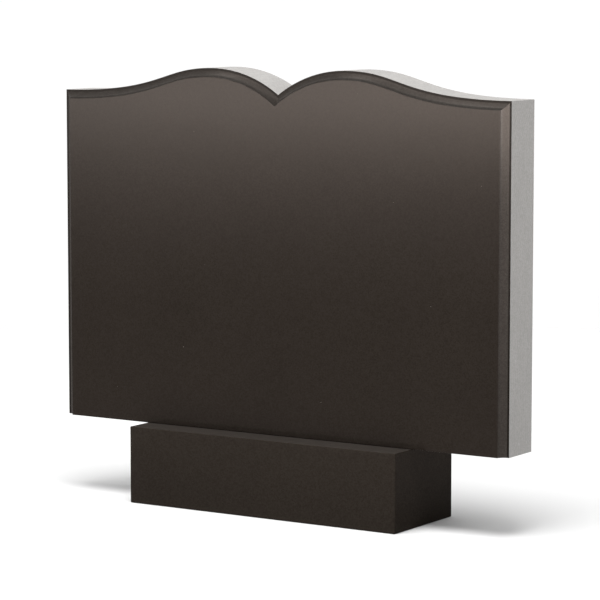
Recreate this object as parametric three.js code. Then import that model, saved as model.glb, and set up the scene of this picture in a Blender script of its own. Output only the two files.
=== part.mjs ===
// Headstone of dark granite: an upright slab with an open-book top, standing on a low plinth.
// Millimetres, +Z up, front towards -Y. The origin is the middle of the plinth's underside.
import * as THREE from "three";

// Slab: two humps side by side, with a notch between them
const slabWidth = 1000;
const slabHeight = 695;
const slabThickness = 98;
const humpRise = 48;
const notchDepth = 48;
const crownFromCentre = 150;

// How far the slope's level ends reach, as shares of the run from the slab's side to the crown
const shoulderSweep = 0.67;
const crownSweep = 0.34;

// Moulding sunk into the front edges: a flat fillet, then a cove up to the face
const mouldingSetback = 12.5;
const filletWidth = 4.5;
const coveWidth = 12.5;
const coveRadius = 14;

// Plinth
const plinthWidth = 600;
const plinthDepth = 210;
const plinthHeight = 150;
const plinthArris = 2;

// Bed joint between the plinth's top and the slab's underside
const bedJoint = 0.3;

// Facets along each curve
const slopeFacets = 24;
const arcFacets = 20;
const coveFacets = 8;

// Levels above the slab's underside, and the half sizes used on both sides of the centre
const shoulderLevel = slabHeight - humpRise;
const halfWidth = slabWidth / 2;
const frontPlane = -slabThickness / 2;
const backPlane = slabThickness / 2;

const slabGranite = new THREE.MeshStandardMaterial({ color: 0x3a332e, roughness: 0.2, metalness: 0 });
const plinthGranite = new THREE.MeshStandardMaterial({ color: 0x2e2925, roughness: 0.2, metalness: 0 });

// One side's top line, from the shoulder's corner over the hump to the notch.
// The outer slope is an ogee, and the inner one an arc that is level at the crown.
function humpLine() {
  const run = halfWidth - crownFromCentre;
  const slope = new THREE.CubicBezierCurve(
    new THREE.Vector2(halfWidth, shoulderLevel),
    new THREE.Vector2(halfWidth - shoulderSweep * run, shoulderLevel),
    new THREE.Vector2(crownFromCentre + crownSweep * run, slabHeight),
    new THREE.Vector2(crownFromCentre, slabHeight),
  );
  const radius = (crownFromCentre ** 2 + notchDepth ** 2) / (2 * notchDepth);
  const sweep = Math.asin(crownFromCentre / radius);
  const start = Math.PI / 2;
  const arc = new THREE.EllipseCurve(
    crownFromCentre, slabHeight - radius, radius, radius, start, start + sweep,
  );
  return [...slope.getPoints(slopeFacets), ...arc.getPoints(arcFacets).slice(1)];
}

// The slab's open outline seen from the front: up the right side, over the top, down the left.
function slabOutline() {
  const right = [new THREE.Vector2(halfWidth, 0), ...humpLine()];
  const left = right.slice(0, -1).reverse().map((point) => new THREE.Vector2(-point.x, point.y));
  return [...right, ...left];
}

// The outline moved inwards by an even distance, mitred at each corner. Its two feet stay on the bed.
function insetOutline(outline, distance) {
  const inwards = (from, to) => new THREE.Vector2(from.y - to.y, to.x - from.x).normalize();
  return outline.map((point, index) => {
    if (index === 0 || index === outline.length - 1) {
      return new THREE.Vector2(point.x - Math.sign(point.x) * distance, point.y);
    }
    const before = inwards(outline[index - 1], point);
    const after = inwards(point, outline[index + 1]);
    const mitre = before.clone().add(after).divideScalar(1 + before.dot(after));
    return point.clone().addScaledVector(mitre, distance);
  });
}

// Section of the moulding as [distance in from the edge, set back from the face], outside first.
// The angles tell how far the cove's surface turns away from looking straight ahead.
function mouldingSection() {
  const middle = Math.atan2(mouldingSetback, coveWidth);
  const halfSweep = Math.asin(Math.hypot(coveWidth, mouldingSetback) / 2 / coveRadius);
  const first = middle - halfSweep;
  const section = [[0, mouldingSetback]];
  for (let step = 0; step <= coveFacets; step += 1) {
    const angle = first + 2 * halfSweep * (step / coveFacets);
    section.push([
      filletWidth + coveRadius * (Math.sin(angle) - Math.sin(first)),
      mouldingSetback + coveRadius * (Math.cos(angle) - Math.cos(first)),
    ]);
  }
  return section;
}

// A closed skin from a list of triangles, each three points in order seen from outside.
function skinGeometry(triangles) {
  const geometry = new THREE.BufferGeometry();
  const numbers = triangles.flat().flatMap((point) => point.toArray());
  geometry.setAttribute("position", new THREE.Float32BufferAttribute(numbers, 3));
  geometry.computeVertexNormals();
  return geometry;
}

// A flat cap over a loop of points, whose flat places run anticlockwise seen from outside.
function capTriangles(points, places) {
  return THREE.ShapeUtils.triangulateShape(places, []).map((corners) => corners.map((n) => points[n]));
}

function slabGeometry() {
  const outline = slabOutline();
  const ring = (distance, y) =>
    insetOutline(outline, distance).map((point) => new THREE.Vector3(point.x, y, point.y));
  const rings = [ring(0, backPlane)];
  for (const [distance, setback] of mouldingSection()) {
    rings.push(ring(distance, frontPlane + setback));
  }

  const triangles = [];
  for (let level = 1; level < rings.length; level += 1) {
    const behind = rings[level - 1];
    const ahead = rings[level];
    for (let n = 1; n < outline.length; n += 1) {
      triangles.push([ahead[n - 1], behind[n - 1], behind[n]]);
      triangles.push([ahead[n - 1], behind[n], ahead[n]]);
    }
  }

  const face = rings[rings.length - 1];
  triangles.push(...capTriangles(face, face.map((point) => new THREE.Vector2(point.x, point.z))));
  const back = rings[0].slice().reverse();
  triangles.push(...capTriangles(back, back.map((point) => new THREE.Vector2(-point.x, point.z))));
  const rightFeet = rings.map((points) => points[0]);
  const leftFeet = rings.map((points) => points[points.length - 1]).reverse();
  const bed = [...rightFeet, ...leftFeet];
  triangles.push(...capTriangles(bed, bed.map((point) => new THREE.Vector2(point.x, -point.y))));
  return skinGeometry(triangles);
}

// A block with every arris taken off at 45 degrees, standing on its own base.
function plinthGeometry() {
  const halfLength = plinthWidth / 2;
  const halfDepth = plinthDepth / 2;
  const plan = new THREE.Shape();
  plan.moveTo(-halfLength + plinthArris, -halfDepth);
  plan.lineTo(halfLength - plinthArris, -halfDepth);
  plan.lineTo(halfLength, -halfDepth + plinthArris);
  plan.lineTo(halfLength, halfDepth - plinthArris);
  plan.lineTo(halfLength - plinthArris, halfDepth);
  plan.lineTo(-halfLength + plinthArris, halfDepth);
  plan.lineTo(-halfLength, halfDepth - plinthArris);
  plan.lineTo(-halfLength, -halfDepth + plinthArris);
  plan.closePath();
  const block = new THREE.ExtrudeGeometry(plan, {
    depth: plinthHeight - 2 * plinthArris,
    bevelThickness: plinthArris,
    bevelSize: plinthArris,
    bevelOffset: -plinthArris,
    bevelSegments: 1,
  });
  return block.translate(0, 0, plinthArris);
}

const plinth = new THREE.Mesh(plinthGeometry(), plinthGranite);
plinth.name = "plinth";

const slab = new THREE.Mesh(slabGeometry(), slabGranite);
slab.name = "slab";
slab.position.z = plinthHeight + bedJoint;

const headstone = new THREE.Group();
headstone.add(plinth, slab);

export default headstone;
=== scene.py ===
"""Headstone of dark granite: an upright slab with an open-book top, standing on a low plinth.

Metres, +Z up, front towards -Y. The origin is the middle of the plinth's underside.
"""
import math

import bmesh
import bpy
from bpy.props import FloatProperty, FloatVectorProperty, IntProperty, PointerProperty
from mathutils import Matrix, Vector
from mathutils.geometry import interpolate_bezier


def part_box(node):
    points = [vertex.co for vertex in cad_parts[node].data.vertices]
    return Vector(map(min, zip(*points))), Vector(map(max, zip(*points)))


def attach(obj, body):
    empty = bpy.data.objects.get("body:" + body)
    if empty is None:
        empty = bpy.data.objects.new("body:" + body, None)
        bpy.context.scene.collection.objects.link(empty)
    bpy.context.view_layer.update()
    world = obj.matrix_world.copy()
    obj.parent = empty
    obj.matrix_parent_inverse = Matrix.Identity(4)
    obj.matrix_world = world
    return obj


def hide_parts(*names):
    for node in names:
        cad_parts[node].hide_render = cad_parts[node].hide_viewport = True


bl_info = {
    "name": "Headstone",
    "version": (1, 0, 0),
    "blender": (4, 5, 0),
    "location": "3D View > Sidebar > Headstone",
    "description": "Makes a granite headstone with an open-book top, its plinth and a plain studio",
    "category": "Add Mesh",
}

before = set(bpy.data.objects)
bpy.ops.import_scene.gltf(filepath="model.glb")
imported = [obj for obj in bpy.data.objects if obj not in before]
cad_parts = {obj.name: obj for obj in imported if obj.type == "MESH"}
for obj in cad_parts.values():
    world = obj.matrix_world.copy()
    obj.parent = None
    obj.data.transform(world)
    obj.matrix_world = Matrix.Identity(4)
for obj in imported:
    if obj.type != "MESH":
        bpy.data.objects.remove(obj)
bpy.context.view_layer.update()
SLAB_LOW, SLAB_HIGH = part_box("slab")
PLINTH_LOW, PLINTH_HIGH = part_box("plinth")
BODY = "root"

# The slope's level ends, as shares of the run from the slab's side to the crown
SHOULDER_SWEEP = 0.67
CROWN_SWEEP = 0.34
# Straight steps along the slope, and along the arc from the crown to the notch
SLOPE_STEPS = 72
ARC_STEPS = 44
# Close to the shoulder's corner a point would fold over once the moulding sets it in, so the slope
# keeps this many moulding widths clear of the slab's side
MITRE_ROOM = 1.25

# Two corners of a mesh closer than this are one
WELD = 0.00002
# An edge that turns by more than this is an arris. A bevel with a profile of a half is round
ARRIS_ANGLE = math.radians(35)
ARRIS_STEPS = 3
ARRIS_PROFILE = 0.5
# The facets of a curve turn by less than this, and the mitres and the fillet's edge by more
SMOOTH_ANGLE = math.radians(7)
# A face looks along an axis when more than this share of its normal lies on it
SQUARE_ON = 0.9

# Grain: small crystals between the large ones, slow clouds, and a few bright flecks
SMALL_CRYSTALS_FINER = 2.7
LARGE_CRYSTALS_SHARE = 0.6
CLOUDS_PER_METRE = 5.5
FLECKS_PER_METRE = 38.0
FLECK_CHANCE = 0.8
FLECK_REACH = 0.032
# Shades past these ends count as fully dark or fully light
CRYSTAL_ENDS = (0.15, 0.85)
CLOUD_ENDS = (0.3, 0.7)

# Saw marks: the pitch of the disc's arcs, how far and how often they wander, and their depth against
# the streaks
ARC_PITCH = 0.007
ARC_WANDER = 0.02
ARC_WANDERS_PER_METRE = 4.0
ARC_DEPTH = 0.12

# Roughness and index of refraction of each ground finish
FACE_SHINE = (0.07, 1.147)
COVE_SHINE = (0.09, 1.27)
FILLET_SHINE = (0.18, 1.14)
PLINTH_SHINE = (0.16, 1.11)
LEDGE_SHINE = (0.35, 1.2)
END_SHINE = (0.2, 1.045)
GROUND_FLECK = (0.16, 0.145, 0.13)
GROUND_CLOUD = 0.05
ROUGHNESS_VARIES = 0.1
POLISH_WAVE = 0.00002

# For each sawn side, the streaks per metre along each axis and the middle of the disc's arcs
SIDE_SAW = ((420.0, 420.0, 5.0), (0.5, 0.9, 0.2))
TOP_SAW = ((160.0, 9.0, 160.0), (0.0, 1.4, 0.8))
BACK_SAW = ((5.0, 420.0, 420.0), (0.2, 0.0, -1.1))
BED_SAW = ((5.0, 420.0, 420.0), (0.0, 1.2, 0.0))
SAWN_FLECK = (0.45, 0.44, 0.43)
SAWN_CLOUD = 0.025
SAWN_ROUGHNESS = 0.82
SAWN_SPECULAR = 0.25
SAW_DEPTH = 0.00025
SAW_BUMP = 0.6
MARKS_OVER_GRAIN = 2.0
# Low and high marks, and the shade of the stone at each
MARK_SHADES = (0.25, 0.75, 0.93, 1.05)

FLOOR_SIDES = 96
FLOOR_GAP = 0.0003
FLOOR_ROUGHNESS = 0.9
FLOOR_SPECULAR = 0.1
# The floor fades out between these shares of its radius
FLOOR_FADE = (0.3, 0.97)
LAMP_PLACE = (0.8, -1.6, 7.5)

# The surroundings, which the polished stone mirrors. A direction has a side from -1 on the left to 1
# on the right, a depth from -1 in front to 1 behind, and a height from -1 to 1 with 0 at the horizon.
# Between these heights the ground's brightness gives way to the sky's
SKY_HEIGHT = (0.06, 0.16)

# A glow has two numbers for where it starts and where it is full, and two more for the brightness at
# each, where that isn't from nothing to all. Azimuths are in degrees from the front to the right
BAND_AZIMUTH = -31.0
BAND_FACING = (0.980, 0.9995)
BAND_TOP = (-0.006, -0.034)
# Below this height the band falls to about a third with each such step down, and then to nothing
BAND_FALL_HEIGHT = -0.042
BAND_FALL_STEP = 0.027
BAND_FALL_ENDS = (0.07, 1.3, 0.0, 1.32)
STRIP_FOOT = (-0.072, -0.042, 0.06, 1.0)
STRIP_TOP = (-0.010, -0.036)
STRIP_RIGHT_AZIMUTH = 70.0
STRIP_RIGHT_FACING = (-0.22, 0.05)
STRIP_AHEAD_AZIMUTH = 20.0
STRIP_AHEAD_FACING = (-0.65, -0.05, 0.25, 1.0)
PATCH_HEIGHT = (0.15, 0.27)
PATCH_DEPTH = (0.12, -0.15)
PATCH_LEFT = (-0.60, -0.46, 0.1, 1.0)
PATCH_MIDDLE = (-0.28, -0.42, 0.55, 1.0)
PATCH_RIGHT = (0.10, -0.05)

# The camera and the lamp look at a point on the slab's middle plane
CAMERA_AIM = Vector((0.0255, 0.0, 0.4068))
CAMERA_DISTANCE = 5.464
CAMERA_AZIMUTH = math.radians(32.784)
CAMERA_ELEVATION = math.radians(6.405)
CAMERA_LENS = 172.3
CAMERA_SENSOR = 36.0
CAMERA_CLIP = (0.05, 200.0)

# How far apart the nodes of a tree stand in the editor
NODE_SPACING = 190
# The mix node's sockets for colours, whose names it uses more than once
MIX_FACTOR = 0
MIX_FIRST = 6
MIX_SECOND = 7
MIX_RESULT = 2


def length(name, description, default):
    """A length that a user can change."""
    return FloatProperty(
        name=name, description=description, default=default, min=0.0, precision=4, unit="LENGTH"
    )


def share(name, description, default, top=1.0):
    """A plain number from nothing upwards that a user can change."""
    return FloatProperty(name=name, description=description, default=default, min=0.0, max=top)


def colour(name, description, default):
    """A colour that a user can change."""
    return FloatVectorProperty(
        name=name, description=description, default=default, min=0.0, max=1.0, subtype="COLOR"
    )


class SlabSizes(bpy.types.PropertyGroup):
    """Sizes of the upright slab."""

    width: length("Width", "From side to side", SLAB_HIGH.x - SLAB_LOW.x)
    height: length("Height", "From the underside to the crowns", SLAB_HIGH.z - SLAB_LOW.z)
    thickness: length("Thickness", "From the face to the back", SLAB_HIGH.y - SLAB_LOW.y)
    hump_rise: length("Hump rise", "From the shoulders up to the crowns", 0.048)
    notch_depth: length("Notch depth", "From the crowns down to the notch", 0.048)
    crown_from_centre: length("Crown from centre", "From the middle to each crown", 0.150)
    setback: length("Setback", "From the face back to the moulding's fillet", 0.0125)
    fillet_width: length("Fillet width", "Flat strip round the sunk edge", 0.0045)
    cove_width: length("Cove width", "Hollow between the fillet and the face", 0.0125)
    cove_radius: length("Cove radius", "Radius of the hollow's arc", 0.014)
    cove_steps: IntProperty(name="Cove steps", description="Facets round the hollow", default=16, min=2)
    arris: length("Arris", "Width of the eased edges", 0.0007)


class PlinthSizes(bpy.types.PropertyGroup):
    """Sizes of the plinth."""

    width: length("Width", "From side to side", PLINTH_HIGH.x - PLINTH_LOW.x)
    depth: length("Depth", "From front to back", PLINTH_HIGH.y - PLINTH_LOW.y)
    height: length("Height", "From the ground to the slab", PLINTH_HIGH.z - PLINTH_LOW.z)
    arris: length("Arris", "Width of the eased edges", 0.002)


class StoneFinishes(bpy.types.PropertyGroup):
    """Colours of the granite in each of its finishes. The cove, the sawn top and the plinth's top are
    painted lighter and the fillet and the plinth's ends painted darker, as painted light and shade.
    """

    face_dark: colour("Face, dark crystals", "Polished face", (0.0114, 0.0087, 0.0069))
    face_light: colour("Face, light crystals", "Polished face", (0.0178, 0.0143, 0.0117))
    # The cove is the face's polished stone, but its colours are lighter: painted light for the light that
    # the hollow catches
    cove_dark: colour("Cove, dark crystals", "Hollow of the moulding", (0.0164, 0.0140, 0.0122))
    cove_light: colour("Cove, light crystals", "Hollow of the moulding", (0.0276, 0.0244, 0.0216))
    # The fillet is the face's polished stone, but its colours are darker: painted shade that draws the dark
    # line round the moulding
    fillet_dark: colour("Fillet, dark crystals", "Strip round the moulding", (0.0050, 0.0040, 0.0032))
    fillet_light: colour("Fillet, light crystals", "Strip round the moulding", (0.0085, 0.0070, 0.0058))
    plinth_dark: colour("Plinth, dark crystals", "Polished front and back", (0.0141, 0.0109, 0.0086))
    plinth_light: colour("Plinth, light crystals", "Polished front and back", (0.0220, 0.0180, 0.0144))
    # The plinth's top is honed, as its roughness gives, and its colours are lighter than the front's:
    # painted light for the light that falls on the top
    ledge_dark: colour("Plinth top, dark crystals", "Honed top of the plinth", (0.0260, 0.0222, 0.0192))
    ledge_light: colour("Plinth top, light crystals", "Honed top of the plinth", (0.0385, 0.0332, 0.0292))
    # The plinth's ends are honed, as their roughness gives, and their colours are darker than the front's:
    # painted shade for the shade that the ends take
    end_dark: colour("Plinth ends, dark crystals", "Honed ends of the plinth", (0.0126, 0.0100, 0.0080))
    end_light: colour("Plinth ends, light crystals", "Honed ends of the plinth", (0.0205, 0.0166, 0.0134))
    sawn_dark: colour("Sawn, dark crystals", "Sides, back and undersides", (0.223, 0.216, 0.208))
    sawn_light: colour("Sawn, light crystals", "Sides, back and undersides", (0.276, 0.268, 0.259))
    # The sawn top is the sides' stone, but its colours are lighter: painted light for the stronger light
    # that falls on the top
    top_dark: colour("Sawn top, dark crystals", "Sawn top", (0.286, 0.277, 0.268))
    top_light: colour("Sawn top, light crystals", "Sawn top", (0.355, 0.345, 0.334))
    sheen: colour("Sheen", "Tint of what the polished stone mirrors", (1.0, 0.83, 0.73))
    crystal: length("Crystal size", "Across the larger crystals", 0.0024)


class StudioLight(bpy.types.PropertyGroup):
    """Light, floor and surroundings."""

    floor: colour("Floor", "Pale floor", (0.69, 0.69, 0.69))
    floor_radius: length("Floor radius", "The floor fades out towards this radius", 4.0)
    key_power: share("Key power", "Watts of the large lamp overhead", 592.0, 5000.0)
    key_size: length("Key size", "Side of the large square lamp", 3.5)
    sky: share("Sky", "Brightness overhead", 0.5, 50.0)
    sky_glow: share("Sky glow", "Brightness of the sky's soft patch on the left", 3.3, 50.0)
    ground: share("Ground", "Brightness below the horizon, past the floor", 1.02, 50.0)
    left_glow: share("Left glow", "Brightness of the band in front on the left", 21.5, 500.0)
    right_glow: share("Right glow", "Brightness of the strip on the right", 17.0, 500.0)


def put(tree, kind, inputs=None, **settings):
    """A new node with its settings, whose inputs hold values or are joined to outputs."""
    node = tree.nodes.new(kind)
    node.location.x = NODE_SPACING * len(tree.nodes)
    for name, value in settings.items():
        setattr(node, name, value)
    for socket, value in (inputs or {}).items():
        if isinstance(value, bpy.types.NodeSocket):
            tree.links.new(value, node.inputs[socket])
        else:
            node.inputs[socket].default_value = value
    return node


def count(tree, operation, first, second=0.0, third=0.0):
    """One step of arithmetic on numbers."""
    node = put(tree, "ShaderNodeMath", {0: first, 1: second, 2: third}, operation=operation)
    return node.outputs[0]


def product(tree, first, *others):
    """Several numbers multiplied."""
    for other in others:
        first = count(tree, "MULTIPLY", first, other)
    return first


def scaled(tree, vector, factor):
    """A vector times a number."""
    node = put(tree, "ShaderNodeVectorMath", {0: vector, "Scale": factor}, operation="SCALE")
    return node.outputs["Vector"]


def added(tree, first, second):
    """The sum of two vectors."""
    node = put(tree, "ShaderNodeVectorMath", {0: first, 1: second}, operation="ADD")
    return node.outputs["Vector"]


def spread(tree, value, low, high, to_low=0.0, to_high=1.0):
    """A number moved from one range to another, and held inside it."""
    inputs = {"Value": value, "From Min": low, "From Max": high, "To Min": to_low, "To Max": to_high}
    return put(tree, "ShaderNodeMapRange", inputs).outputs["Result"]


def mixed(tree, factor, first, second):
    """Two colours mixed."""
    inputs = {MIX_FACTOR: factor, MIX_FIRST: first, MIX_SECOND: second}
    return put(tree, "ShaderNodeMix", inputs, data_type="RGBA").outputs[MIX_RESULT]


def new_group(name, inputs, outputs):
    """A shader node group with named sockets, and the ends of its tree."""
    tree = bpy.data.node_groups.new(name, "ShaderNodeTree")
    for socket, kind in inputs.items():
        tree.interface.new_socket(socket, in_out="INPUT", socket_type=kind)
    for socket, kind in outputs.items():
        tree.interface.new_socket(socket, in_out="OUTPUT", socket_type=kind)
    return tree, tree.nodes.new("NodeGroupInput").outputs, tree.nodes.new("NodeGroupOutput")


def grain_group():
    """Interlocked crystals, drifting clouds and a few bright flecks."""
    tree, given, end = new_group(
        "granite grain",
        {
            "Place": "NodeSocketVector",
            "Dark": "NodeSocketColor",
            "Light": "NodeSocketColor",
            "Fleck": "NodeSocketColor",
            "Crystal size": "NodeSocketFloat",
            "Cloud": "NodeSocketFloat",
        },
        {"Colour": "NodeSocketColor", "Height": "NodeSocketFloat", "Drift": "NodeSocketFloat"},
    )
    place = given["Place"]
    per_metre = count(tree, "DIVIDE", 1.0, given["Crystal size"])
    warp = put(tree, "ShaderNodeTexNoise", {"Vector": place, "Scale": per_metre, "Detail": 2.0})
    bend = scaled(tree, warp.outputs["Color"], given["Crystal size"])
    bent = added(tree, place, bend)
    large = put(tree, "ShaderNodeTexVoronoi", {"Vector": bent, "Scale": per_metre})
    finer = count(tree, "MULTIPLY", per_metre, SMALL_CRYSTALS_FINER)
    small = put(tree, "ShaderNodeTexVoronoi", {"Vector": bent, "Scale": finer})
    large_shade = put(tree, "ShaderNodeSeparateColor", {0: large.outputs["Color"]}).outputs["Red"]
    small_shade = put(tree, "ShaderNodeSeparateColor", {0: small.outputs["Color"]}).outputs["Green"]
    small_part = count(tree, "MULTIPLY", small_shade, 1.0 - LARGE_CRYSTALS_SHARE)
    both = count(tree, "MULTIPLY_ADD", large_shade, LARGE_CRYSTALS_SHARE, small_part)
    crystals = mixed(tree, spread(tree, both, *CRYSTAL_ENDS), given["Dark"], given["Light"])

    cloud = put(tree, "ShaderNodeTexNoise", {"Vector": place, "Scale": CLOUDS_PER_METRE, "Detail": 3.0})
    drift = spread(tree, cloud.outputs["Fac"], *CLOUD_ENDS, -1.0, 1.0)
    shade = count(tree, "MULTIPLY_ADD", drift, given["Cloud"], 1.0)
    clouded = scaled(tree, crystals, shade)

    flecks = put(tree, "ShaderNodeTexVoronoi", {"Vector": place, "Scale": FLECKS_PER_METRE})
    chance = put(tree, "ShaderNodeSeparateColor", {0: flecks.outputs["Color"]}).outputs["Red"]
    reach = spread(tree, chance, FLECK_CHANCE, 1.0, 0.0, FLECK_REACH)
    inside = count(tree, "LESS_THAN", flecks.outputs["Distance"], reach)
    tree.links.new(mixed(tree, inside, clouded, given["Fleck"]), end.inputs["Colour"])
    tree.links.new(both, end.inputs["Height"])
    tree.links.new(drift, end.inputs["Drift"])
    return tree


def saw_group():
    """Marks that a saw leaves: streaks along its travel, and the faint arcs of the disc."""
    tree, given, end = new_group(
        "saw marks",
        {"Place": "NodeSocketVector", "Across": "NodeSocketVector", "Arcs": "NodeSocketVector"},
        {"Height": "NodeSocketFloat"},
    )
    across = put(
        tree, "ShaderNodeVectorMath", {0: given["Place"], 1: given["Across"]}, operation="MULTIPLY"
    )
    streaks = put(tree, "ShaderNodeTexNoise", {"Vector": across.outputs[0], "Scale": 1.0, "Detail": 4.0})
    centre = put(
        tree, "ShaderNodeVectorMath", {0: given["Place"], 1: given["Arcs"]}, operation="SUBTRACT"
    )
    radius = put(tree, "ShaderNodeVectorMath", {0: centre.outputs[0]}, operation="LENGTH")
    wander_inputs = {"Vector": given["Place"], "Scale": ARC_WANDERS_PER_METRE}
    wander = put(tree, "ShaderNodeTexNoise", wander_inputs)
    turned = count(tree, "MULTIPLY_ADD", wander.outputs["Fac"], ARC_WANDER, radius.outputs["Value"])
    wave = count(tree, "SINE", count(tree, "MULTIPLY", turned, 2.0 * math.pi / ARC_PITCH))
    arcs = count(tree, "MULTIPLY_ADD", wave, ARC_DEPTH, streaks.outputs["Fac"])
    tree.links.new(arcs, end.inputs["Height"])
    return tree


def new_material(name):
    """A material with only its Principled shader, and the piece's own coordinates."""
    material = bpy.data.materials.new(name)
    material.use_nodes = True
    tree = material.node_tree
    shader = next(node for node in tree.nodes if node.type == "BSDF_PRINCIPLED")
    place = put(tree, "ShaderNodeTexCoord").outputs["Object"]
    return material, tree, shader, place


def grained(tree, place, finishes, part, fleck, cloud):
    """The grain group placed in a material, with the colours of a part of the stone."""
    colours = {
        "Dark": getattr(finishes, f"{part}_dark"),
        "Light": getattr(finishes, f"{part}_light"),
        "Fleck": fleck,
    }
    inputs = {socket: (*value, 1.0) for socket, value in colours.items()}
    inputs |= {"Place": place, "Crystal size": finishes.crystal, "Cloud": cloud}
    grain = bpy.data.node_groups["granite grain"]
    return put(tree, "ShaderNodeGroup", inputs, node_tree=grain).outputs


def ground_granite(name, finishes, part, shine):
    """Dark granite that is ground and polished or honed, with a warm, low sheen."""
    material, tree, shader, place = new_material(name)
    roughness, ior = shine
    grain = grained(tree, place, finishes, part, GROUND_FLECK, GROUND_CLOUD)
    tree.links.new(grain["Colour"], shader.inputs["Base Color"])
    smoothest = roughness * (1.0 - ROUGHNESS_VARIES)
    roughest = roughness * (1.0 + ROUGHNESS_VARIES)
    varied = spread(tree, grain["Height"], 0.0, 1.0, smoothest, roughest)
    tree.links.new(varied, shader.inputs["Roughness"])
    shader.inputs["IOR"].default_value = ior
    shader.inputs["Specular Tint"].default_value = (*finishes.sheen, 1.0)
    bump = put(tree, "ShaderNodeBump", {"Strength": 1.0, "Distance": POLISH_WAVE, "Height": grain["Drift"]})
    tree.links.new(bump.outputs["Normal"], shader.inputs["Normal"])
    return material


def sawn_granite(name, finishes, part, saw):
    """Granite as the saw leaves it: pale, matt, speckled and finely scored."""
    material, tree, shader, place = new_material(name)
    across, arcs = saw
    grain = grained(tree, place, finishes, part, SAWN_FLECK, SAWN_CLOUD)
    inputs = {"Place": place, "Across": across, "Arcs": arcs}
    marks = put(tree, "ShaderNodeGroup", inputs, node_tree=bpy.data.node_groups["saw marks"])
    shade = spread(tree, marks.outputs["Height"], *MARK_SHADES)
    tree.links.new(scaled(tree, grain["Colour"], shade), shader.inputs["Base Color"])
    shader.inputs["Roughness"].default_value = SAWN_ROUGHNESS
    shader.inputs["Specular IOR Level"].default_value = SAWN_SPECULAR
    height = count(tree, "MULTIPLY_ADD", marks.outputs["Height"], MARKS_OVER_GRAIN, grain["Height"])
    bump = put(tree, "ShaderNodeBump", {"Strength": SAW_BUMP, "Distance": SAW_DEPTH, "Height": height})
    tree.links.new(bump.outputs["Normal"], shader.inputs["Normal"])
    return material


def slab_outline(sizes):
    """The slab's outline seen from the front: up the right side, over the top, down the left."""
    half = sizes.width / 2
    crown = Vector((sizes.crown_from_centre, sizes.height))
    shoulder = Vector((half, sizes.height - sizes.hump_rise))
    run = half - crown.x
    slope = interpolate_bezier(
        shoulder,
        shoulder - Vector((SHOULDER_SWEEP * run, 0.0)),
        crown + Vector((CROWN_SWEEP * run, 0.0)),
        crown,
        SLOPE_STEPS + 1,
    )
    clear_of_mitre = half - MITRE_ROOM * (sizes.fillet_width + sizes.cove_width)
    slope = [shoulder] + [point for point in slope if point.x < clear_of_mitre]

    radius = (crown.x**2 + sizes.notch_depth**2) / (2 * sizes.notch_depth)
    sweep = math.asin(crown.x / radius)
    turns = [sweep * step / ARC_STEPS for step in range(1, ARC_STEPS + 1)]
    arc = [crown - radius * Vector((math.sin(turn), 1.0 - math.cos(turn))) for turn in turns]
    arc[-1].x = 0.0

    right = [Vector((half, 0.0)), *slope, *arc]
    left = [Vector((-point.x, point.y)) for point in reversed(right[:-1])]
    return right + left


def mitres(outline):
    """For each point of the outline, how far it moves when every edge is set in by one unit."""

    def inwards(start, stop):
        along = (stop - start).normalized()
        return Vector((-along.y, along.x))

    moves = [Vector((-1.0, 0.0))]
    for before, point, after in zip(outline, outline[1:], outline[2:]):
        first = inwards(before, point)
        second = inwards(point, after)
        moves.append((first + second) / (1.0 + first.dot(second)))
    moves.append(Vector((1.0, 0.0)))
    return moves


def outline_mesh(sizes):
    """One flat face at the slab's back plane, with each corner's mitre stored on it."""
    outline = slab_outline(sizes)
    mesh = bpy.data.meshes.new("slab outline")
    places = [(point.x, SLAB_HIGH.y, SLAB_LOW.z + point.y) for point in outline]
    mesh.from_pydata(places, [], [range(len(places))])
    stored = mesh.attributes.new("mitre", "FLOAT_VECTOR", "POINT")
    for item, move in zip(stored.data, mitres(outline)):
        item.vector = (move.x, 0.0, move.y)
    return mesh


def yes_on(tree, name):
    """The yes or no that each face carries under a name."""
    kind = "GeometryNodeInputNamedAttribute"
    return put(tree, kind, {"Name": name}, data_type="BOOLEAN").outputs[0]


def mark(tree, geometry, name, selection):
    """Stores a yes or no on each face."""
    inputs = {"Geometry": geometry, "Name": name, "Value": selection}
    kind = "GeometryNodeStoreNamedAttribute"
    return put(tree, kind, inputs, data_type="BOOLEAN", domain="FACE").outputs[0]


def set_in(tree, geometry, inwards, forwards):
    """Extrudes the front face, sets its new outline in along the mitres and moves it forwards."""
    front = yes_on(tree, "front")
    step = put(
        tree,
        "GeometryNodeExtrudeMesh",
        {"Mesh": geometry, "Selection": front, "Offset Scale": 0.0, "Individual": False},
    )
    mitre = put(tree, "GeometryNodeInputNamedAttribute", {"Name": "mitre"}, data_type="FLOAT_VECTOR")
    sideways = scaled(tree, mitre.outputs[0], inwards)
    ahead = scaled(tree, (0.0, -1.0, 0.0), forwards)
    moved = put(
        tree,
        "GeometryNodeSetPosition",
        {
            "Geometry": step.outputs["Mesh"],
            "Selection": step.outputs["Top"],
            "Offset": added(tree, sideways, ahead),
        },
    )
    return mark(tree, moved.outputs[0], "front", step.outputs["Top"])


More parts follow.
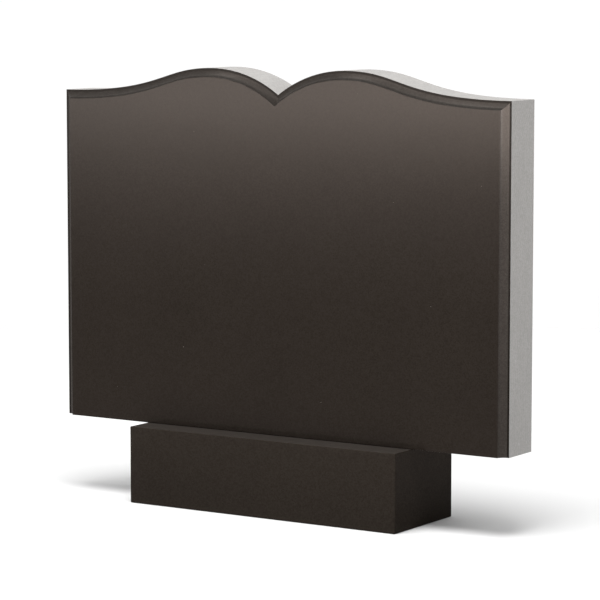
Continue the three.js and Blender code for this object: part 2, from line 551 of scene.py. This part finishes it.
def cove_loop(tree, geometry, given):
    """Sets the front face in and forwards along an arc from the fillet to the face, facet by facet."""
    start = tree.nodes.new("GeometryNodeRepeatInput")
    stop = tree.nodes.new("GeometryNodeRepeatOutput")
    start.pair_with_output(stop)
    tree.links.new(given["Cove steps"], start.inputs["Iterations"])
    tree.links.new(geometry, start.inputs["Geometry"])
    setback, width, radius = given["Setback"], given["Cove width"], given["Cove radius"]
    squares = count(tree, "MULTIPLY_ADD", width, width, count(tree, "MULTIPLY", setback, setback))
    chord = count(tree, "SQRT", squares)
    half_sweep = count(tree, "ARCSINE", count(tree, "DIVIDE", count(tree, "DIVIDE", chord, 2.0), radius))
    first = count(tree, "SUBTRACT", count(tree, "ARCTAN2", setback, width), half_sweep)
    turn = count(tree, "DIVIDE", count(tree, "MULTIPLY", half_sweep, 2.0), given["Cove steps"])
    before = count(tree, "MULTIPLY_ADD", start.outputs["Iteration"], turn, first)
    after = count(tree, "ADD", before, turn)
    rise = count(tree, "SUBTRACT", count(tree, "SINE", after), count(tree, "SINE", before))
    drop = count(tree, "SUBTRACT", count(tree, "COSINE", before), count(tree, "COSINE", after))
    inwards = count(tree, "MULTIPLY", rise, radius)
    forwards = count(tree, "MULTIPLY", drop, radius)
    tree.links.new(set_in(tree, start.outputs["Geometry"], inwards, forwards), stop.inputs["Geometry"])
    return stop.outputs["Geometry"]


def finished(tree, geometry, given):
    """Gives each face its finish, by how it was made and which way it looks."""
    normal = put(tree, "GeometryNodeInputNormal").outputs[0]
    parts = put(tree, "ShaderNodeSeparateXYZ", {0: normal}).outputs
    sideways = count(tree, "GREATER_THAN", count(tree, "ABSOLUTE", parts["X"]), SQUARE_ON)
    backwards = count(tree, "GREATER_THAN", parts["Y"], SQUARE_ON)
    downwards = count(tree, "LESS_THAN", parts["Z"], -SQUARE_ON)
    hidden = count(tree, "MAXIMUM", backwards, downwards)
    geometry = put(tree, "GeometryNodeRealizeInstances", {"Geometry": geometry}).outputs[0]
    for finish, selection in (
        ("Sawn top", True),
        ("Sawn side", sideways),
        ("Sawn back", hidden),
        ("Fillet", yes_on(tree, "dressed")),
        ("Cove", yes_on(tree, "hollow")),
        ("Face", yes_on(tree, "front")),
    ):
        inputs = {"Geometry": geometry, "Selection": selection, "Material": given[finish]}
        geometry = put(tree, "GeometryNodeSetMaterial", inputs).outputs[0]
    return geometry


def slab_tree():
    """The node tree that turns the flat outline into the slab with its sunk moulding."""
    tree = bpy.data.node_groups.new("moulded slab", "GeometryNodeTree")
    tree.is_modifier = True
    tree.interface.new_socket("Outline", in_out="INPUT", socket_type="NodeSocketGeometry")
    for name in ("Thickness", "Setback", "Fillet width", "Cove width", "Cove radius"):
        tree.interface.new_socket(name, in_out="INPUT", socket_type="NodeSocketFloat").subtype = "DISTANCE"
    tree.interface.new_socket("Cove steps", in_out="INPUT", socket_type="NodeSocketInt")
    for name in ("Face", "Cove", "Fillet", "Sawn side", "Sawn top", "Sawn back"):
        tree.interface.new_socket(name, in_out="INPUT", socket_type="NodeSocketMaterial")
    tree.interface.new_socket("Slab", in_out="OUTPUT", socket_type="NodeSocketGeometry")

    given = tree.nodes.new("NodeGroupInput").outputs
    block_depth = count(tree, "SUBTRACT", given["Thickness"], given["Setback"])
    block = put(
        tree,
        "GeometryNodeExtrudeMesh",
        {
            "Mesh": given["Outline"],
            "Offset": (0.0, -1.0, 0.0),
            "Offset Scale": block_depth,
            "Individual": False,
        },
    )
    front = mark(tree, block.outputs["Mesh"], "dressed", block.outputs["Top"])
    front = mark(tree, front, "front", block.outputs["Top"])
    filleted = set_in(tree, front, given["Fillet width"], 0.0)
    filleted = mark(tree, filleted, "hollow", yes_on(tree, "front"))
    coved = cove_loop(tree, filleted, given)
    back = put(tree, "GeometryNodeFlipFaces", {"Mesh": given["Outline"]})
    joined = put(tree, "GeometryNodeJoinGeometry", {"Geometry": coved})
    tree.links.new(back.outputs[0], joined.inputs[0])
    welded = put(tree, "GeometryNodeMergeByDistance", {"Geometry": joined.outputs[0], "Distance": WELD})
    end = tree.nodes.new("NodeGroupOutput")
    tree.links.new(finished(tree, welded.outputs[0], given), end.inputs["Slab"])
    return tree


def run_tree(piece, tree, values):
    """Runs a node tree on a piece and keeps the result as its plain mesh."""
    modifier = piece.modifiers.new(tree.name, "NODES")
    modifier.node_group = tree
    for item in tree.interface.items_tree:
        if item.in_out == "INPUT" and item.name in values:
            modifier[item.identifier] = values[item.name]
    shape = piece.evaluated_get(bpy.context.evaluated_depsgraph_get())
    mesh = bpy.data.meshes.new_from_object(shape)
    piece.modifiers.clear()
    piece.data = mesh
    return mesh


def new_piece(name, mesh):
    """A piece at the origin, in the scene."""
    piece = bpy.data.objects.new(name, mesh)
    bpy.context.scene.collection.objects.link(piece)
    return piece


def close_mesh(shape, mesh):
    """Writes a closed shape to its mesh, smooth over its curves and crisp at its edges."""
    if any(len(edge.link_faces) != 2 for edge in shape.edges):
        raise RuntimeError(f"{mesh.name} is not closed")
    shape.to_mesh(mesh)
    shape.free()
    mesh.shade_smooth()
    mesh.set_sharp_from_angle(angle=SMOOTH_ANGLE)


def ease_slab(mesh, width, moulded):
    """Joins the underside into one face and eases each arris, but not the moulding's mitres."""
    shape = bmesh.new()
    shape.from_mesh(mesh)
    underside = [
        face
        for face in shape.faces
        if all(abs(corner.co.z - SLAB_LOW.z) < WELD for corner in face.verts)
    ]
    bmesh.ops.dissolve_faces(shape, faces=underside)
    shape.normal_update()
    arrises = [
        edge
        for edge in shape.edges
        if edge.calc_face_angle_signed(0.0) > ARRIS_ANGLE
        and not all(face.material_index in moulded for face in edge.link_faces)
    ]
    bmesh.ops.bevel(
        shape,
        geom=arrises,
        offset=width,
        offset_type="OFFSET",
        segments=ARRIS_STEPS,
        profile=ARRIS_PROFILE,
        affect="EDGES",
        clamp_overlap=True,
        material=-1,
    )
    close_mesh(shape, mesh)


def slab_finishes(finishes):
    """The slab's materials, under the names that its node tree gives them."""
    return {
        "Face": ground_granite("polished granite", finishes, "face", FACE_SHINE),
        # The cove's lighter colours are painted light
        "Cove": ground_granite("cove granite", finishes, "cove", COVE_SHINE),
        # The fillet's darker colours are painted shade
        "Fillet": ground_granite("fillet granite", finishes, "fillet", FILLET_SHINE),
        "Sawn side": sawn_granite("sawn granite side", finishes, "sawn", SIDE_SAW),
        "Sawn back": sawn_granite("sawn granite back", finishes, "sawn", BACK_SAW),
        # The sawn top's lighter colours are painted light
        "Sawn top": sawn_granite("sawn granite top", finishes, "top", TOP_SAW),
    }


def plinth_block(sizes, finishes):
    """A block with eased arrises, whose sides each have their finish, the top's colour lightened by painted
    light and the ends' darkened by painted shade.
    """
    polished = ground_granite("plinth granite", finishes, "plinth", PLINTH_SHINE)
    # The plinth top's lighter colours are painted light
    ledge = ground_granite("plinth top granite", finishes, "ledge", LEDGE_SHINE)
    # The plinth ends' darker colours are painted shade
    end = ground_granite("plinth end granite", finishes, "end", END_SHINE)
    bed = sawn_granite("sawn granite bed", finishes, "sawn", BED_SAW)
    mesh = bpy.data.meshes.new("plinth block")
    for finish in (polished, ledge, end, bed):
        mesh.materials.append(finish)

    shape = bmesh.new()
    bmesh.ops.create_cube(shape)
    middle = Vector((0.0, 0.0, sizes.height / 2))
    for corner in shape.verts:
        corner.co *= Vector((sizes.width, sizes.depth, sizes.height))
        corner.co += middle
    bmesh.ops.bevel(
        shape,
        geom=shape.edges[:],
        offset=sizes.arris,
        segments=ARRIS_STEPS,
        profile=ARRIS_PROFILE,
        affect="EDGES",
    )
    for face in shape.faces:
        finish = polished
        if abs(face.normal.x) > SQUARE_ON:
            finish = end
        elif face.normal.z > SQUARE_ON:
            finish = ledge
        elif face.normal.z < -SQUARE_ON:
            finish = bed
        face.material_index = mesh.materials.find(finish.name)
    close_mesh(shape, mesh)
    return mesh


class HEADSTONE_OT_slab(bpy.types.Operator):
    """Makes the upright slab, with its open-book top and the moulding round its face"""

    bl_idname = "headstone.slab"
    bl_label = "Make slab"

    def execute(self, context):
        sizes = context.scene.headstone_slab
        finishes = slab_finishes(context.scene.headstone_stone)
        values = {
            "Thickness": sizes.thickness,
            "Setback": sizes.setback,
            "Fillet width": sizes.fillet_width,
            "Cove width": sizes.cove_width,
            "Cove radius": sizes.cove_radius,
            "Cove steps": sizes.cove_steps,
        }
        slab = new_piece("headstone_slab", outline_mesh(sizes))
        mesh = run_tree(slab, slab_tree(), values | finishes)
        moulded = [mesh.materials.find(finishes[strip].name) for strip in ("Cove", "Fillet")]
        ease_slab(mesh, sizes.arris, moulded)
        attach(slab, BODY)
        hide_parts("slab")
        return {"FINISHED"}


class HEADSTONE_OT_plinth(bpy.types.Operator):
    """Makes the plinth, polished in front and behind and honed on its top and ends, with painted light on
    its top and painted shade on its ends
    """

    bl_idname = "headstone.plinth"
    bl_label = "Make plinth"

    def execute(self, context):
        block = plinth_block(context.scene.headstone_plinth, context.scene.headstone_stone)
        plinth = new_piece("headstone_plinth", block)
        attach(plinth, BODY)
        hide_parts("plinth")
        return {"FINISHED"}


def floor_material(light):
    """Pale matt floor that fades out towards its rim."""
    material, tree, shader, place = new_material("pale floor")
    shader.inputs["Base Color"].default_value = (*light.floor, 1.0)
    shader.inputs["Roughness"].default_value = FLOOR_ROUGHNESS
    shader.inputs["Specular IOR Level"].default_value = FLOOR_SPECULAR
    away = put(tree, "ShaderNodeVectorMath", {0: place}, operation="LENGTH").outputs["Value"]
    near, far = (light.floor_radius * reach for reach in FLOOR_FADE)
    tree.links.new(spread(tree, away, near, far, 1.0, 0.0), shader.inputs["Alpha"])
    return material


def make_floor(light):
    """A round floor under the plinth."""
    mesh = bpy.data.meshes.new("floor")
    mesh.materials.append(floor_material(light))
    shape = bmesh.new()
    bmesh.ops.create_circle(shape, cap_ends=True, segments=FLOOR_SIDES, radius=light.floor_radius)
    shape.to_mesh(mesh)
    shape.free()
    floor = new_piece("floor", mesh)
    floor.location.z = PLINTH_LOW.z - FLOOR_GAP


def facing(tree, direction, azimuth):
    """How far a direction points towards an azimuth, in degrees from the front to the right."""
    turn = math.radians(azimuth)
    towards = (math.sin(turn), -math.cos(turn), 0.0)
    node = put(tree, "ShaderNodeVectorMath", {0: direction, 1: towards}, operation="DOT_PRODUCT")
    return node.outputs["Value"]


def left_band(tree, direction, height):
    """In front on the left a band glows a little below the horizon, fading slowly downwards."""
    below = count(tree, "SUBTRACT", height, BAND_FALL_HEIGHT)
    fall = count(tree, "EXPONENT", count(tree, "DIVIDE", below, BAND_FALL_STEP))
    under = spread(tree, fall, *BAND_FALL_ENDS)
    over = spread(tree, height, *BAND_TOP)
    left = spread(tree, facing(tree, direction, BAND_AZIMUTH), *BAND_FACING)
    return product(tree, count(tree, "MINIMUM", under, over), left)


def right_strip(tree, direction, height):
    """On the right a long strip with soft edges glows a little below the horizon."""
    foot = spread(tree, height, *STRIP_FOOT)
    top = spread(tree, height, *STRIP_TOP)
    right = spread(tree, facing(tree, direction, STRIP_RIGHT_AZIMUTH), *STRIP_RIGHT_FACING)
    ahead = spread(tree, facing(tree, direction, STRIP_AHEAD_AZIMUTH), *STRIP_AHEAD_FACING)
    strip = count(tree, "MINIMUM", foot, top)
    return product(tree, strip, count(tree, "MINIMUM", right, ahead))


def sky_patch(tree, parts):
    """High in front on the left, the sky has a soft patch that reaches to the middle."""
    rise = spread(tree, parts["X"], *PATCH_LEFT)
    fall_off = spread(tree, parts["X"], *PATCH_MIDDLE)
    edge = spread(tree, parts["X"], *PATCH_RIGHT)
    ahead = spread(tree, parts["Y"], *PATCH_DEPTH)
    high = spread(tree, parts["Z"], *PATCH_HEIGHT)
    return product(tree, rise, fall_off, edge, ahead, high)


def make_world(light):
    """Sky above, bright ground below, and three soft glows that the polished stone mirrors."""
    world = bpy.data.worlds.new("studio")
    bpy.context.scene.world = world
    world.use_nodes = True
    tree = world.node_tree
    background = next(node for node in tree.nodes if node.type == "BACKGROUND")
    direction = put(tree, "ShaderNodeTexCoord").outputs["Generated"]
    parts = put(tree, "ShaderNodeSeparateXYZ", {0: direction}).outputs
    brightness = spread(tree, parts["Z"], *SKY_HEIGHT, light.ground, light.sky)
    for glow, strength in (
        (left_band(tree, direction, parts["Z"]), light.left_glow),
        (right_strip(tree, direction, parts["Z"]), light.right_glow),
        (sky_patch(tree, parts), light.sky_glow),
    ):
        brightness = count(tree, "MULTIPLY_ADD", glow, strength, brightness)
    tree.links.new(brightness, background.inputs["Strength"])
    background.inputs["Color"].default_value = (1.0, 1.0, 1.0, 1.0)


def make_lamp(name, place, power, size):
    """A square lamp that looks where the camera looks, and that no polished surface mirrors."""
    lamp = bpy.data.lights.new(name, "AREA")
    lamp.energy = power
    lamp.size = size
    holder = bpy.data.objects.new(name, lamp)
    holder.location = place
    holder.rotation_euler = (CAMERA_AIM - Vector(place)).to_track_quat("-Z", "Y").to_euler()
    holder.visible_glossy = False
    bpy.context.scene.collection.objects.link(holder)


def make_camera():
    """The camera, low in front on the right."""
    lens = bpy.data.cameras.new("camera")
    lens.lens = CAMERA_LENS
    lens.sensor_width = CAMERA_SENSOR
    lens.clip_start, lens.clip_end = CAMERA_CLIP
    camera = bpy.data.objects.new("camera", lens)
    level = math.cos(CAMERA_ELEVATION)
    away = Vector(
        (
            math.sin(CAMERA_AZIMUTH) * level,
            -math.cos(CAMERA_AZIMUTH) * level,
            math.sin(CAMERA_ELEVATION),
        )
    )
    camera.location = CAMERA_AIM + CAMERA_DISTANCE * away
    camera.rotation_euler = (-away).to_track_quat("-Z", "Y").to_euler()
    bpy.context.scene.collection.objects.link(camera)
    bpy.context.scene.camera = camera


class HEADSTONE_OT_stage(bpy.types.Operator):
    """Makes the pale floor, the soft studio light and the camera"""

    bl_idname = "headstone.stage"
    bl_label = "Make stage"

    def execute(self, context):
        light = context.scene.headstone_light
        make_floor(light)
        make_world(light)
        make_lamp("key lamp", LAMP_PLACE, light.key_power, light.key_size)
        make_camera()
        context.scene.view_settings.view_transform = "Standard"
        return {"FINISHED"}


class HEADSTONE_PT_sidebar(bpy.types.Panel):
    """Lists the steps and sizes in the sidebar"""

    bl_idname = "HEADSTONE_PT_sidebar"
    bl_label = "Headstone"
    bl_space_type = "VIEW_3D"
    bl_region_type = "UI"
    bl_category = "Headstone"

    def draw(self, context):
        for operator in OPERATORS:
            self.layout.operator(operator.bl_idname)
        for holder in GROUPS:
            values = getattr(context.scene, holder)
            box = self.layout.box()
            for name in values.__annotations__:
                box.prop(values, name)


OPERATORS = (HEADSTONE_OT_slab, HEADSTONE_OT_plinth, HEADSTONE_OT_stage)
GROUPS = {
    "headstone_slab": SlabSizes,
    "headstone_plinth": PlinthSizes,
    "headstone_stone": StoneFinishes,
    "headstone_light": StudioLight,
}
CLASSES = (*GROUPS.values(), *OPERATORS, HEADSTONE_PT_sidebar)


def register():
    """Makes the classes known and puts the settings on the scene."""
    for item in CLASSES:
        bpy.utils.register_class(item)
    for holder, group in GROUPS.items():
        setattr(bpy.types.Scene, holder, PointerProperty(type=group))


def unregister():
    """Takes the settings and the classes away again."""
    for holder in GROUPS:
        delattr(bpy.types.Scene, holder)
    for item in reversed(CLASSES):
        bpy.utils.unregister_class(item)


def main():
    """Makes every piece and the stage."""
    register()
    grain_group()
    saw_group()
    bpy.ops.headstone.slab()
    bpy.ops.headstone.plinth()
    bpy.ops.headstone.stage()


if __name__ == "__main__":
    main()
